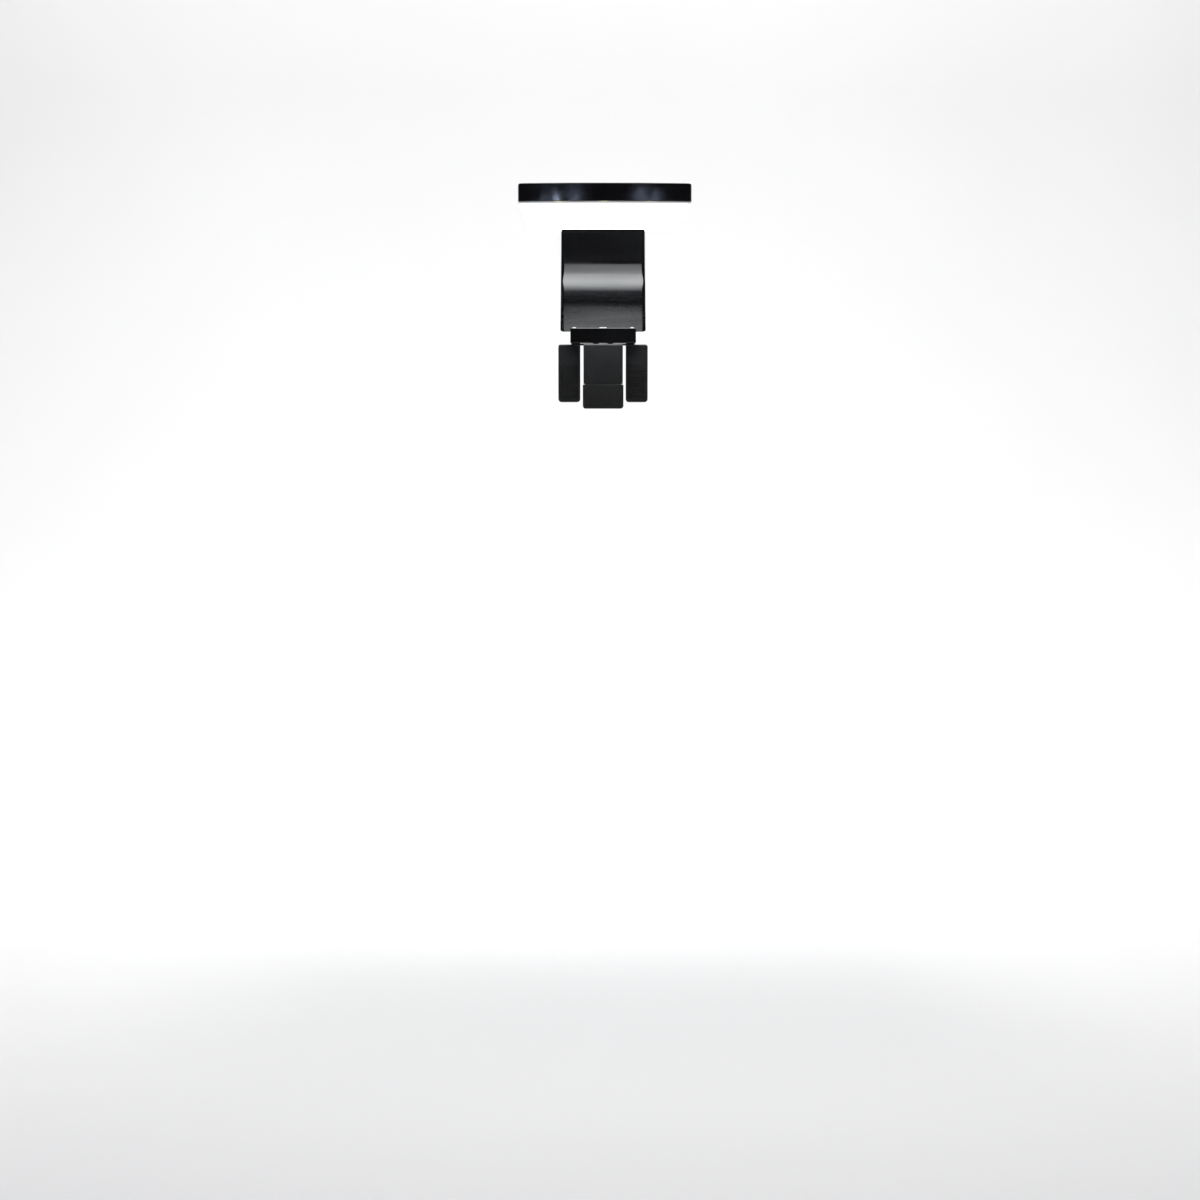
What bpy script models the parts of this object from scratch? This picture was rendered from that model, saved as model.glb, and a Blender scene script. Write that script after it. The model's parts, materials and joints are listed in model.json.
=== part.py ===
"""Clip-on LED aquarium light: a flat lit head on a curved arm, tilting on a sprung glass clamp.

Lengths are in millimetres until mesh_object turns them into metres. X is across the light, Y runs
from the head's front to the arm, and Z is up. The origin is where the saddle rests on the glass.
"""

import math

import bmesh
import bpy
from mathutils import Matrix, Vector

MM = 0.001
GAP = 0.3
PIN_GAP = 0.12

# Head
HEAD_HALF = 47.5
HEAD_FRONT = -155.5
HEAD_REAR = 14.0
FRONT_BOW = 2.5
FRONT_CORNER = 4.0
REAR_CORNER = 5.0
HEAD_BASE = 72.2
HEAD_TOP = 82.2
HEAD_WALL = 1.8
HEAD_EDGE = 0.8
CEILING = HEAD_TOP - HEAD_WALL
COVER_THICK = 1.2
COVER_INSET = 0.4
COVER_EDGE = 1.0
COVER_TOP = HEAD_BASE - GAP
COVER_BASE = COVER_TOP - COVER_THICK

# Light engine
BOARD_THICK = 1.2
LED_FRONT = -150.0
LED_REAR = -38.0
LED_BOARD_HALF = 40.5
LED_BOARD_Z = 77.9
LED_SIZE = 5.2
LED_TALL = 0.75
LED_COLUMNS = (-26.0, 0.0, 26.0)
LED_ROWS = 5
LED_FIRST_ROW = -139.0
LED_PITCH = 22.5
TRAY_BASE = 73.4
TRAY_TOP = 77.4

# Driver and button
DRIVER_HALF = 30.0
DRIVER_FRONT = -33.0
DRIVER_REAR = -11.0
DRIVER_Z = 75.2
DRIVER_TOP = DRIVER_Z + BOARD_THICK
DRIVER_SCREW = (26.0, -22.0)
BUTTON_Y = -22.0
BUTTON_R = 4.2
BUTTON_FLANGE_R = 5.6
BUTTON_BASE = 79.4
BUTTON_TOP = 82.7
LEAD_X = -12.0
LEAD_R = 1.2
LEAD_HEIGHT = 77.9

# Arm: (height, depth) stations of its front and rear faces
ARM_LIP = ((8.15, -4.8), (12.0, -4.0), (17.0, -3.1), (23.0, -2.1))
ARM_FACE = ((23.0, -2.1), (27.0, -2.6), (31.0, -2.85), (34.5, -2.7), (37.0, -1.95), (40.0, -0.3),
            (43.0, 0.9), (46.0, 1.35), (51.0, 1.6), (57.0, 1.25), (74.0, -0.6))
ARM_BACK = ((14.0, 4.2), (22.0, 5.2), (31.0, 6.2), (40.0, 8.8), (48.0, 10.9), (58.0, 11.6),
            (74.0, 11.6))
ARM_HALF_TOP = 25.6
ARM_HALF_BASE = 26.1
ARM_SLICES = 40
ARM_EDGE = 2.4
ARM_WALL = 2.2
ARM_SKIN = 2.1
ARM_END = 73.0
LIP_NOTCHES = ((-18.7, -16.7), (-2.15, 2.15), (16.7, 18.7))
LIP_NOTCH_TOP = 11.05
ARM_SCREW_X = 19.5
ARM_SCREW_AT = (0.17, 0.84)
FLANGE_HALF = 34.0
FLANGE_FRONT = -8.0
FLANGE_REAR = 11.6
FLANGE_BASE = 73.3
FLANGE_TOP = 75.3
FLANGE_SCREWS = ((-30.0, -4.0), (30.0, -4.0), (-30.0, 7.5), (30.0, 7.5))

# Gland
GLAND_Z = 23.5
GLAND_FACE = 6.2
GLAND_BORE = 2.3

# Neck hinge
AXIS_Y = -0.9
AXIS_Z = 6.2
NECK_HALF = 20.0
KNUCKLE_R = 3.2
CENTRE_HALF = 9.2
WASHER_THICK = 0.6
ARM_KNUCKLE = CENTRE_HALF + 2 * GAP + WASHER_THICK
WEB_END = 16.4
HINGE_PIN_R = 1.25

# Clamp
SADDLE_THICK = 1.0
SADDLE_HALF = 18.5
SADDLE_DEPTH = 2.6
BRIDGE_BASE = SADDLE_THICK + GAP
BRIDGE_TOP = 2.6
BRIDGE_HALF_DEPTH = 8.6
SKIRT_REAR = -5.15
SKIRT_TOP = 10.25
SKIRT_SHOULDER = 7.8
SKIRT_LEAN = 0.3
GLASS_HALF = 3.0
FINGER_IN = 14.0
FINGER_OUT = 27.5
FINGER_FRONT = 3.9
FINGER_REAR = 8.0
FINGER_TOP = 0.8
FINGER_TIP = -34.6
FINGER_CORNER = 1.9
PAD_THICK = 0.6

# Jaw
JAW_HALF = 12.0
JAW_AXIS_Y = -6.4
JAW_AXIS_Z = -2.6
JAW_TOP = 0.4
JAW_SKIN = -9.9
JAW_BACK = -4.2
JAW_TIP = -37.5
JAW_KNUCKLE_R = 2.5
JAW_PIN_R = 0.8
LUG_OUT = 6.0
LUG_IN = 2.7
BOOT_TOP = -24.0
BOOT_WALL = 0.9
BOOT_FRONT = -8.7
BOOT_NARROW = 0.8
BOOT_CORNER = 1.7
SPRING_R = 1.5
WIRE_R = 0.3
SPRING_TURNS = 5

ROUND = 32


def clear_scene():
    for thing in list(bpy.data.objects):
        bpy.data.objects.remove(thing, do_unlink=True)


# Materials

def material(name, colour, roughness, metallic=0.0, glow=0.0):
    found = bpy.data.materials.get(name)
    if found:
        return found
    made = bpy.data.materials.new(name)
    made.use_nodes = True
    shader = made.node_tree.nodes["Principled BSDF"]
    shader.inputs["Base Color"].default_value = (*colour, 1.0)
    shader.inputs["Roughness"].default_value = roughness
    shader.inputs["Metallic"].default_value = metallic
    if glow:
        shader.inputs["Emission Color"].default_value = (*colour, 1.0)
        shader.inputs["Emission Strength"].default_value = glow
    return made


def housing_black():
    return material("housing_black", (0.012, 0.012, 0.018), 0.22)


def arm_black():
    return material("arm_black", (0.016, 0.016, 0.018), 0.34)


def clamp_black():
    return material("clamp_black", (0.018, 0.018, 0.019), 0.42)


def button_black():
    return material("button_black", (0.030, 0.030, 0.033), 0.55)


def rubber_black():
    return material("rubber_black", (0.022, 0.022, 0.022), 0.80)


def opal_acrylic():
    return material("opal_acrylic", (0.94, 0.96, 1.0), 0.18, glow=2.0)


def pin_steel():
    return material("pin_steel", (0.58, 0.58, 0.60), 0.24, metallic=1.0)


def spring_steel():
    return material("spring_steel", (0.42, 0.42, 0.44), 0.30, metallic=1.0)


def screw_steel():
    return material("screw_steel", (0.50, 0.50, 0.52), 0.32, metallic=1.0)


def spreader_aluminium():
    return material("spreader_aluminium", (0.78, 0.78, 0.80), 0.36, metallic=1.0)


def white_board():
    return material("white_board", (0.88, 0.88, 0.86), 0.35)


def green_board():
    return material("green_board", (0.02, 0.16, 0.07), 0.38)


def tray_white():
    return material("tray_white", (0.90, 0.90, 0.90), 0.30)


def led_phosphor():
    return material("led_phosphor", (0.96, 0.86, 0.42), 0.40)


def gasket_silicone():
    return material("gasket_silicone", (0.30, 0.31, 0.33), 0.70)


def ferrite_grey():
    return material("ferrite_grey", (0.07, 0.07, 0.075), 0.60)


def capacitor_sleeve():
    return material("capacitor_sleeve", (0.62, 0.63, 0.66), 0.28, metallic=1.0)


def chip_epoxy():
    return material("chip_epoxy", (0.02, 0.02, 0.022), 0.50)


def connector_nylon():
    return material("connector_nylon", (0.85, 0.82, 0.72), 0.45)


def lead_sheath():
    return material("lead_sheath", (0.015, 0.015, 0.015), 0.55)


# Shape helpers

def mesh_object(name, points, faces, look, origin=(0.0, 0.0, 0.0)):
    """A closed mesh object whose own origin stands at origin; its faces are turned outwards."""
    bm = bmesh.new()
    for point in points:
        bm.verts.new([(point[i] - origin[i]) * MM for i in range(3)])
    bm.verts.ensure_lookup_table()
    for face in faces:
        bm.faces.new([bm.verts[i] for i in face])
    bmesh.ops.recalc_face_normals(bm, faces=bm.faces[:])
    mesh = bpy.data.meshes.new(name)
    bm.to_mesh(mesh)
    bm.free()
    made = bpy.data.objects.new(name, mesh)
    made.location = [value * MM for value in origin]
    bpy.context.scene.collection.objects.link(made)
    mesh.materials.append(look)
    return made


def ring_faces(count, rings, closed):
    """Quads between rings of count points each, with end caps unless the rings close on themselves."""
    faces = []
    spans = rings if closed else rings - 1
    for ring in range(spans):
        here = ring * count
        there = ((ring + 1) % rings) * count
        for i in range(count):
            j = (i + 1) % count
            faces.append((here + i, here + j, there + j, there + i))
    if not closed:
        faces.append(tuple(range(count)))
        faces.append(tuple(range((rings - 1) * count, rings * count)))
    return faces


def loft(name, rings, look, closed=False, origin=(0.0, 0.0, 0.0)):
    points = [point for ring in rings for point in ring]
    return mesh_object(name, points, ring_faces(len(rings[0]), len(rings), closed), look, origin)


def block(name, low, high, look, edge=0.0, segments=2, origin=(0.0, 0.0, 0.0)):
    """A box from low to high, with its edges rounded by edge."""
    rings = []
    for z in (low[2], high[2]):
        rings.append([(low[0], low[1], z), (high[0], low[1], z), (high[0], high[1], z),
                      (low[0], high[1], z)])
    made = loft(name, rings, look, origin=origin)
    if edge:
        round_edges(made, edge, segments)
    return made


def round_edges(thing, width, segments=2, sharper_than=40.0):
    bm = bmesh.new()
    bm.from_mesh(thing.data)
    limit = math.radians(sharper_than)
    edges = [edge for edge in bm.edges if edge.calc_face_angle(0.0) > limit]
    bmesh.ops.bevel(bm, geom=edges, offset=width * MM, segments=segments, profile=0.5,
                    affect="EDGES", clamp_overlap=True)
    bmesh.ops.recalc_face_normals(bm, faces=bm.faces[:])
    bm.to_mesh(thing.data)
    bm.free()


def circle(centre, radius, across, up, count=ROUND):
    """Points of a circle about centre, in the plane of the unit vectors across and up."""
    points = []
    for i in range(count):
        angle = 2.0 * math.pi * (i + 0.5) / count
        points.append(Vector(centre) + radius * (math.cos(angle) * across + math.sin(angle) * up))
    return points


def plane_of(axis):
    axis = Vector(axis).normalized()
    across = axis.cross(Vector((0.0, 0.0, 1.0)))
    if across.length < 0.1:
        across = Vector((1.0, 0.0, 0.0))
    across.normalize()
    return axis, across, axis.cross(across).normalized()


def turned(name, start, axis, profile, look, closed=False, count=ROUND, origin=(0.0, 0.0, 0.0)):
    """A body of revolution: profile lists (distance along axis, radius) from start."""
    axis, across, up = plane_of(axis)
    rings = [circle(Vector(start) + axis * along, radius, across, up, count)
             for along, radius in profile]
    return loft(name, rings, look, closed, origin)


def prism(name, outline, low, high, look, along="X", origin=(0.0, 0.0, 0.0)):
    """An outline drawn in the two other axes, drawn out along X, Y or Z from low to high."""
    place = {"X": lambda at, a, b: (at, a, b),
             "Y": lambda at, a, b: (a, at, b),
             "Z": lambda at, a, b: (a, b, at)}[along]
    rings = [[place(at, a, b) for a, b in outline] for at in (low, high)]
    return loft(name, rings, look, origin=origin)


def combine(thing, other, operation):
    """Applies an exact Boolean of thing with other, and removes other."""
    step = thing.modifiers.new("step", "BOOLEAN")
    step.operation = operation
    step.solver = "EXACT"
    step.object = other
    bpy.context.view_layer.update()
    graph = bpy.context.evaluated_depsgraph_get()
    mesh = bpy.data.meshes.new_from_object(thing.evaluated_get(graph))
    thing.modifiers.clear()
    thing.data = mesh
    bpy.data.objects.remove(other, do_unlink=True)
    bm = bmesh.new()
    bm.from_mesh(mesh)
    bmesh.ops.remove_doubles(bm, verts=bm.verts[:], dist=0.0005 * MM)
    bm.to_mesh(mesh)
    bm.free()


def add(thing, *others):
    for other in others:
        combine(thing, other, "UNION")


def cut(thing, *others):
    for other in others:
        combine(thing, other, "DIFFERENCE")


def shade(thing, angle=32.0):
    mesh = thing.data
    mesh.shade_smooth()
    mesh.set_sharp_from_angle(angle=math.radians(angle))


def smooth_at(stations, at):
    """A smooth curve through (place, value) stations, read at one place."""
    places = [station[0] for station in stations]
    values = [station[1] for station in stations]
    last = len(stations) - 1
    at = min(max(at, places[0]), places[last])
    slopes = []
    for i in range(last + 1):
        before = max(i - 1, 0)
        after = min(i + 1, last)
        slopes.append((values[after] - values[before]) / (places[after] - places[before]))
    i = 0
    while i < last - 1 and at > places[i + 1]:
        i += 1
    span = places[i + 1] - places[i]
    t = (at - places[i]) / span
    value = values[i] * (2 * t ** 3 - 3 * t ** 2 + 1) + values[i + 1] * (3 * t ** 2 - 2 * t ** 3)
    value += span * (slopes[i] * (t ** 3 - 2 * t ** 2 + t) + slopes[i + 1] * (t ** 3 - t ** 2))
    return value


# Head

def head_outline(inset, z):
    """The head's plan outline drawn in by inset: a bowed front and four rounded corners."""
    half = HEAD_HALF - inset
    front = HEAD_FRONT + inset
    rear = HEAD_REAR - inset
    round_front = max(FRONT_CORNER - inset, 0.6)
    round_rear = max(REAR_CORNER - inset, 0.6)
    flat = half - round_front
    lean = 2.0 * FRONT_BOW / flat
    reach = flat + round_front * math.sin(lean)
    level = front + round_front * (1.0 - math.cos(lean))
    points = []
    steps = 14
    for i in range(1, steps):
        x = reach * (2.0 * i / steps - 1.0)
        points.append((x, level - FRONT_BOW * (1.0 - (x / reach) ** 2), z))
    slant = math.degrees(lean)
    corners = ((flat, front + round_front, round_front, slant - 90.0, 0.0),
               (half - round_rear, rear - round_rear, round_rear, 0.0, 90.0),
               (round_rear - half, rear - round_rear, round_rear, 90.0, 180.0),
               (-flat, front + round_front, round_front, 180.0, 270.0 - slant))
    for x, y, radius, start, end in corners:
        for i in range(9):
            angle = math.radians(start + (end - start) * i / 8)
            points.append((x + radius * math.cos(angle), y + radius * math.sin(angle), z))
    return points


def edge_steps(radius, steps=4):
    """(inset, drop) pairs round a quarter circle, from the side to the face."""
    angles = [0.5 * math.pi * i / steps for i in range(steps + 1)]
    return [(radius * (1.0 - math.cos(a)), radius * (1.0 - math.sin(a))) for a in angles]


def screw_boss(x, y, base, radius, look):
    tall = CEILING - base + 0.6
    return turned("boss", (x, y, base), (0, 0, 1), ((0, radius), (tall, radius)), look, count=20)


def screw_pilot(x, y, base, radius, depth, look):
    profile = ((0, radius), (depth + 1.0, radius))
    return turned("pilot", (x, y, base - 1.0), (0, 0, 1), profile, look, count=16)


def make_top_housing():
    look = housing_black()
    rings = [head_outline(HEAD_WALL, CEILING), head_outline(HEAD_WALL, HEAD_BASE),
             head_outline(0.3, HEAD_BASE), head_outline(0.0, HEAD_BASE + 0.3)]
    rings += [head_outline(inset, HEAD_TOP - drop) for inset, drop in edge_steps(HEAD_EDGE)]
    made = loft("top_housing", rings, look)
    for x, y in FLANGE_SCREWS:
        add(made, screw_boss(x, y, FLANGE_TOP + GAP, 2.6, look))
        cut(made, screw_pilot(x, y, FLANGE_TOP + GAP, 1.3, 4.3, look))
    for side in (-1, 1):
        x = side * DRIVER_SCREW[0]
        add(made, screw_boss(x, DRIVER_SCREW[1], DRIVER_TOP + GAP, 2.2, look))
        cut(made, screw_pilot(x, DRIVER_SCREW[1], DRIVER_TOP + GAP, 1.1, 3.2, look))
    hole = ((0, BUTTON_R + GAP), (HEAD_WALL + 2.0, BUTTON_R + GAP))
    cut(made, turned("hole", (0, BUTTON_Y, CEILING - 1.0), (0, 0, 1), hole, look))
    shade(made)


def arm_notch(look, low, high):
    front = smooth_at(ARM_FACE, COVER_BASE) - 0.9
    half = ARM_HALF_TOP + 0.6
    return block("notch", (-half, front, low), (half, HEAD_REAR + 2.0, high), look)


def make_lens_cover():
    look = opal_acrylic()
    rings = [head_outline(COVER_INSET, COVER_TOP)]
    steps = edge_steps(COVER_EDGE)
    rings += [head_outline(COVER_INSET + inset, COVER_BASE + drop) for inset, drop in steps]
    made = loft("lens_cover", rings, look)
    cut(made, arm_notch(look, COVER_BASE - 1.0, COVER_TOP + 1.0))
    shade(made)


def make_cover_gasket():
    look = gasket_silicone()
    low = COVER_TOP + GAP
    high = low + 0.7
    outer = HEAD_WALL + GAP
    inner = outer + 1.5
    rings = [head_outline(outer, low), head_outline(outer, high), head_outline(inner, high),
             head_outline(inner, low)]
    made = loft("cover_gasket", rings, look, closed=True)
    cut(made, arm_notch(look, low - 1.0, high + 1.0))
    shade(made)


def rectangle(half, front, rear, z):
    return [(-half, front, z), (half, front, z), (half, rear, z), (-half, rear, z)]


def make_reflector_tray():
    rings = [rectangle(42.8, LED_FRONT - 1.0, LED_REAR + 0.8, TRAY_BASE),
             rectangle(41.0, LED_FRONT + 1.0, LED_REAR - 1.0, TRAY_TOP),
             rectangle(40.0, LED_FRONT + 2.0, LED_REAR - 2.0, TRAY_TOP),
             rectangle(41.8, LED_FRONT + 0.0, LED_REAR - 0.2, TRAY_BASE)]
    loft("reflector_tray", rings, tray_white(), closed=True)


def make_light_engine():
    low = LED_BOARD_Z + BOARD_THICK + GAP
    block("heat_spreader", (-42.0, LED_FRONT - 0.5, low), (42.0, LED_REAR + 1.0, low + 0.7),
          spreader_aluminium(), 0.2, 1)
    block("led_board", (-LED_BOARD_HALF, LED_FRONT + 0.5, LED_BOARD_Z),
          (LED_BOARD_HALF, LED_REAR, LED_BOARD_Z + BOARD_THICK), white_board(), 0.2, 1)
    number = 0
    for row in range(LED_ROWS):
        for x in LED_COLUMNS:
            number += 1
            make_led(number, x, LED_FIRST_ROW + row * LED_PITCH)


def make_led(number, x, y):
    """One light-emitting chip: a square pack whose face is shallowly domed."""
    top = LED_BOARD_Z - GAP
    half = LED_SIZE / 2
    levels = ((half, 0.0), (half, 0.45), (half - 0.35, LED_TALL), (half - 0.9, LED_TALL),
              (half - 1.2, LED_TALL - 0.2))
    rings = [[(x + a * size, y + b * size, top - drop) for a, b in ((-1, -1), (1, -1), (1, 1), (-1, 1))]
             for size, drop in levels]
    loft("led_%02d" % number, rings, led_phosphor(), origin=(x, y, top))


def make_driver():
    made = block("driver_board", (-DRIVER_HALF, DRIVER_FRONT, DRIVER_Z),
                 (DRIVER_HALF, DRIVER_REAR, DRIVER_TOP), green_board(), 0.2, 1)
    for side in (-1, 1):
        x = side * DRIVER_SCREW[0]
        cut(made, screw_pilot(x, DRIVER_SCREW[1], DRIVER_Z, 1.2, BOARD_THICK + 1.0, green_board()))
    under = DRIVER_Z - GAP
    coil = block("driver_inductor", (9.0, -29.5, under - 2.4), (17.0, -21.5, under), ferrite_grey(), 0.8, 2)
    shade(coil)
    can = ((0, 2.4), (0.3, 2.6), (2.2, 2.6), (2.4, 2.3))
    shade(turned("driver_capacitor", (-8.0, -24.0, under), (0, 0, -1), can, capacitor_sleeve()))
    block("driver_chip", (-1.5, -29.0, under - 1.2), (4.5, -24.0, under), chip_epoxy(), 0.15, 1)
    over = DRIVER_TOP + GAP
    socket = block("wire_connector", (LEAD_X - 4.0, DRIVER_REAR - 6.8, over),
                   (LEAD_X + 4.0, DRIVER_REAR - 0.3, over + 3.0), connector_nylon(), 0.25, 1)
    shade(socket)
    plunger = ((0, 3.1), (1.4, 3.1), (1.4, 1.7), (1.9, 1.6))
    shade(turned("tact_switch", (0, BUTTON_Y, over), (0, 0, 1), plunger, chip_epoxy(), count=24))


def make_mode_button():
    tall = BUTTON_TOP - BUTTON_BASE
    profile = ((0, BUTTON_FLANGE_R), (0.6, BUTTON_FLANGE_R), (0.6, BUTTON_R), (tall - 0.4, BUTTON_R),
               (tall, BUTTON_R - 0.5), (tall - 0.25, BUTTON_R - 1.6))
    made = turned("mode_button", (0, BUTTON_Y, BUTTON_BASE), (0, 0, 1), profile, button_black(),
                  origin=(0, BUTTON_Y, BUTTON_BASE))
    shade(made)


# Arm

def arm_front_at(z):
    return smooth_at(ARM_LIP if z < ARM_LIP[-1][0] else ARM_FACE, z)


def arm_span(share):
    """Front and rear points (depth, height) and half-width of the arm at a share of its height."""
    end = ARM_FACE[-1][0]
    front_z = ARM_LIP[0][0] + share * (end - ARM_LIP[0][0])
    rear_z = ARM_BACK[0][0] + share * (end - ARM_BACK[0][0])
    half = ARM_HALF_BASE + share * (ARM_HALF_TOP - ARM_HALF_BASE)
    return (arm_front_at(front_z), front_z), (smooth_at(ARM_BACK, rear_z), rear_z), half


def arm_shares(start, end):
    """Shares of the arm's height from start to end, with one on the crease of its front."""
    low = ARM_LIP[0][0]
    crease = (ARM_LIP[-1][0] - low) / (ARM_FACE[-1][0] - low)
    shares = [start + (end - start) * i / ARM_SLICES for i in range(ARM_SLICES + 1)]
    nearest = min(range(1, ARM_SLICES), key=lambda i: abs(shares[i] - crease))
    shares[nearest] = crease
    return shares


def arm_point(share, x, depth):
    """The point depth behind the arm's front at a share of its height."""
    front, rear, _ = arm_span(share)
    reach = math.hypot(rear[0] - front[0], rear[1] - front[1])
    t = depth / reach
    return (x, front[0] + t * (rear[0] - front[0]), front[1] + t * (rear[1] - front[1]))


def arm_reach(share):
    front, rear, _ = arm_span(share)
    return math.hypot(rear[0] - front[0], rear[1] - front[1])


def rounded_section(half, near, far, radius):
    """(across, depth) points of a section whose two corners at far are rounded; near stays square."""
    turn = 1.0 if near > far else -1.0
    points = [(-half, near)]
    for side in (-1, 1):
        for i in range(6):
            a = 0.5 * math.pi * i / 5
            a = a if side < 0 else 0.5 * math.pi - a
            points.append((side * (half - radius + radius * math.cos(a)),
                           far + turn * radius * (1.0 - math.sin(a))))
    points.append((half, near))
    return points


def arm_shell(name, look, end, near_share, far_share, offset):
    """Half of the arm's depth as a solid, from its lip up to the share end."""
    rings = []
    for share in arm_shares(0.0, end):
        half = arm_span(share)[2]
        reach = arm_reach(share)
        section = rounded_section(half, near_share * reach + offset, far_share * reach, ARM_EDGE)
        rings.append([arm_point(share, x, depth) for x, depth in section])
    return loft(name, rings, look)


def arm_hollow(look, start, end, shallow, deep):
    """The cutter for a shell's hollow; shallow and deep turn the arm's depth into its two faces."""
    rings = []
    for share in arm_shares(start, end):
        half = arm_span(share)[2] - ARM_WALL
        reach = arm_reach(share)
        near, far = shallow(reach), deep(reach)
        section = ((-half, near), (half, near), (half, far), (-half, far))
        rings.append([arm_point(share, x, depth) for x, depth in section])
    return loft("hollow", rings, look)


def arm_screw_line(share, x):
    """Where an arm screw's line meets the rear face, and its direction towards the front."""
    front, rear, _ = arm_span(share)
    start = Vector((x, rear[0], rear[1]))
    return start, (Vector((x, front[0], front[1])) - start).normalized()


def lip_notch_outline():
    """A relief in the lip's lower edge from the side: flat on top, and clear of the barrel below it."""
    front, rear, _ = arm_span(0.0)
    rise = (rear[1] - front[1]) / (rear[0] - front[0])
    base = front[1] - 0.15
    outer = front[0] - 3.4
    inner = front[0] + (LIP_NOTCH_TOP - base) / rise
    return ((outer, base + rise * (outer - front[0])), (inner, LIP_NOTCH_TOP), (outer, LIP_NOTCH_TOP))


def make_arm_front_cover():
    look = arm_black()
    made = arm_shell("arm_front_cover", look, 1.0, 0.5, 0.0, -GAP / 2)
    flange = block("flange", (-FLANGE_HALF, FLANGE_FRONT, FLANGE_BASE),
                   (FLANGE_HALF, FLANGE_REAR, FLANGE_TOP), look, 0.5, 1)
    add(made, flange)
    hollow = arm_hollow(look, 0.07, 1.0, lambda reach: ARM_SKIN, lambda reach: 0.5 * reach + 0.6)
    cut(made, hollow)
    slot_front = arm_front_at(FLANGE_BASE) + ARM_SKIN
    cut(made, block("slot", (-ARM_HALF_TOP + ARM_WALL, slot_front, FLANGE_BASE - 0.6),
                    (ARM_HALF_TOP - ARM_WALL, slot_front + 5.0, FLANGE_TOP + 1.0), look))
    for x, y in FLANGE_SCREWS:
        cut(made, screw_pilot(x, y, FLANGE_BASE, 1.3, FLANGE_TOP - FLANGE_BASE + 1.0, look))
    for share in ARM_SCREW_AT:
        for side in (-1, 1):
            start, inward = arm_screw_line(share, side * ARM_SCREW_X)
            reach = arm_reach(share)
            profile = ((ARM_SKIN + 2.5, 2.6), (reach - ARM_SKIN + 0.6, 2.7))
            boss = turned("boss", start, inward, profile, look, count=20)
            within = arm_hollow(look, 0.0, 1.0, lambda reach: 0.5 * ARM_SKIN, lambda reach: reach)
            combine(boss, within, "INTERSECT")
            add(made, boss)
            pilot = ((ARM_SKIN, 1.3), (7.0, 1.3))
            cut(made, turned("pilot", start, inward, pilot, look, count=16))
    for side in (-1, 1):
        near = side * ARM_KNUCKLE
        far = side * NECK_HALF
        low, high = min(near, far), max(near, far)
        knuckle = ((0, KNUCKLE_R), (high - low, KNUCKLE_R))
        web_low, web_high = sorted((near, side * WEB_END))
        web = prism("web", ((AXIS_Y - KNUCKLE_R, AXIS_Z), (AXIS_Y + KNUCKLE_R, AXIS_Z),
                            (AXIS_Y + 1.9, AXIS_Z + 4.7), (AXIS_Y - 0.4, AXIS_Z + 3.8),
                            (AXIS_Y - 0.4, AXIS_Z + 6.0), (AXIS_Y - 2.1, AXIS_Z + 6.0)),
                    web_low, web_high, look)
        barrel = turned("barrel", (low, AXIS_Y, AXIS_Z), (1, 0, 0), knuckle, look, count=40)
        add(web, barrel)
        add(made, web)
    for left, right in LIP_NOTCHES:
        cut(made, prism("notch", lip_notch_outline(), left, right, look))
    bore = ((0, HINGE_PIN_R + PIN_GAP), (60.0, HINGE_PIN_R + PIN_GAP))
    cut(made, turned("bore", (-30.0, AXIS_Y, AXIS_Z), (1, 0, 0), bore, look))
    set_origin(made, (0.0, AXIS_Y, AXIS_Z))
    shade(made)


def set_origin(thing, origin):
    """Moves an object's own origin, leaving its shape where it is."""
    shift = Vector(origin) * MM - thing.location
    thing.data.transform(Matrix.Translation(-shift))
    thing.location = thing.location + shift


def rear_end_share():
    low = ARM_BACK[0][0]
    return (ARM_END - low) / (ARM_BACK[-1][0] - low)


def make_arm_rear_cover():
    look = arm_black()
    end = rear_end_share()
    made = arm_shell("arm_rear_cover", look, end, 0.5, 1.0, GAP / 2)
    hollow = arm_hollow(look, 0.07, 1.0, lambda reach: 0.5 * reach - 0.6, lambda reach: reach - ARM_SKIN)
    cut(made, hollow)
    for share in ARM_SCREW_AT:
        for side in (-1, 1):
            start, inward = arm_screw_line(share, side * ARM_SCREW_X)
            hole = ((-1.0, 2.5), (1.2, 2.5), (1.2, 1.3), (ARM_SKIN + 1.0, 1.3))
            cut(made, turned("hole", start, inward, hole, look, count=20))
    seat = ((0, 3.4 + GAP), (12.0, 3.4 + GAP))
    cut(made, turned("seat", (0, 0, GLAND_Z), (0, 1, 0), seat, look, count=24))
    set_origin(made, (0.0, AXIS_Y, AXIS_Z))
    shade(made)


def make_arm_screws():
    number = 0
    for share in ARM_SCREW_AT:
        for side in (-1, 1):
            number += 1
            start, inward = arm_screw_line(share, side * ARM_SCREW_X)
            make_screw("arm_screw_%d" % number, start + inward * 0.05, inward, 2.1, 0.85, 1.0, 6.2)


def make_screw(name, head, axis, head_r, head_tall, shank_r, length):
    """A pan-head screw whose head's outer face is at head, with a shallow round drive recess."""
    profile = ((0.45, head_r * 0.34), (0.0, head_r * 0.40), (0.0, head_r * 0.78), (0.25, head_r),
               (head_tall, head_r), (head_tall, shank_r), (length - 0.6, shank_r), (length, shank_r * 0.5))
    shade(turned(name, head, axis, profile, screw_steel(), count=24))


def make_head_screws():
    for number, (x, y) in enumerate(FLANGE_SCREWS, 1):
        at = (x, y, FLANGE_BASE - GAP - 0.75)
        make_screw("flange_screw_%d" % number, at, (0, 0, 1), 2.2, 0.75, 1.0, 6.0)
    for number, side in enumerate((-1, 1), 1):
        at = (side * DRIVER_SCREW[0], DRIVER_SCREW[1], DRIVER_Z - GAP - 0.75)
        make_screw("board_screw_%d" % number, at, (0, 0, 1), 1.9, 0.75, 0.8, 5.0)


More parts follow.
